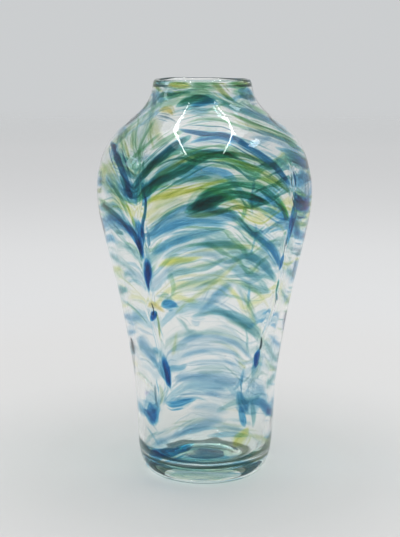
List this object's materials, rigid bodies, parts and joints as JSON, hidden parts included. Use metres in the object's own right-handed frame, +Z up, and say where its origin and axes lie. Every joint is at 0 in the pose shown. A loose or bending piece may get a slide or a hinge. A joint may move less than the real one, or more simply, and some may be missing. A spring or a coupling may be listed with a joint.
{
  "type": "art glass vase",
  "caption": "Hand blown glass vase with a short neck, high round shoulder and long taper, clear glass cased over combed blue, green and yellow trails.",
  "frame": {"origin": "centre of the foot, on the surface that the vase stands on", "axes": "+Z up through the mouth, -Y towards the pictured front, +X to the viewer's right"},
  "size_m": [0.1292, 0.1292, 0.24],
  "materials": {
    "clear_glass": "fire-polished, clear with a very faint green cast",
    "navy_glass": "deep navy, dense enough to look nearly black where it gathers",
    "blue_glass": "cobalt blue, see-through",
    "pale_blue_glass": "thin washed blue, mostly see-through",
    "teal_glass": "deep blue-green, nearly opaque at its heart",
    "pale_teal_glass": "thin grey-teal, mostly see-through",
    "green_glass": "bottle green, see-through",
    "olive_glass": "olive green, see-through",
    "lime_glass": "yellow-green, see-through",
    "lemon_glass": "pale lemon, mostly see-through"
  },
  "bodies": {
    "root": {"outer_casing": "clear_glass", "inner_gather": "clear_glass", "pontil_scar": "pale_teal_glass", "neck_green_trail": "green_glass", "neck_teal_trail": "teal_glass", "neck_olive_streak": "olive_glass", "shoulder_teal_streak": "teal_glass", "shoulder_yellow_spot": "lime_glass", "shoulder_navy_arch": "navy_glass", "left_navy_trail": "navy_glass", "dark_teal_arch": "teal_glass", "dark_green_arch": "green_glass", "lime_arch": "lime_glass", "green_arch": "green_glass", "deep_green_fish": "teal_glass", "broad_blue_arch": "blue_glass", "right_blue_streak": "blue_glass", "lower_blue_arch": "blue_glass", "lemon_lens": "lemon_glass", "lemon_arch": "lemon_glass", "teal_wave": "teal_glass", "pale_lime_streak": "lemon_glass", "blue_lens": "blue_glass", "cornflower_patch": "pale_blue_glass", "small_blue_spot": "blue_glass", "falling_teal_streak": "pale_teal_glass", "grey_teal_streak": "pale_teal_glass", "middle_blue_band": "pale_blue_glass", "thin_blue_band": "pale_blue_glass", "wide_pale_band": "pale_blue_glass", "blue_teardrop": "blue_glass", "right_blue_knot": "blue_glass", "low_blue_band": "pale_blue_glass", "foot_blue_band": "blue_glass", "foot_lemon_spot": "lemon_glass", "foot_teal_band": "pale_teal_glass", "side_neck_wrap": "pale_teal_glass", "side_green_wrap": "green_glass", "side_blue_wrap": "blue_glass", "side_lemon_wrap": "lemon_glass", "side_navy_wrap": "navy_glass", "side_teal_wrap": "teal_glass", "side_pale_wrap": "pale_blue_glass", "side_lime_wrap": "lime_glass", "side_middle_wrap": "blue_glass", "side_grey_wrap": "pale_teal_glass", "side_low_wrap": "pale_blue_glass", "side_foot_wrap": "blue_glass", "left_cusp_drip": "navy_glass", "left_lower_drip": "blue_glass", "left_foot_drip": "blue_glass", "far_left_drip": "navy_glass", "right_cusp_drip": "navy_glass", "right_middle_drip": "green_glass", "right_foot_drip": "blue_glass"}
  },
  "joints": []
}
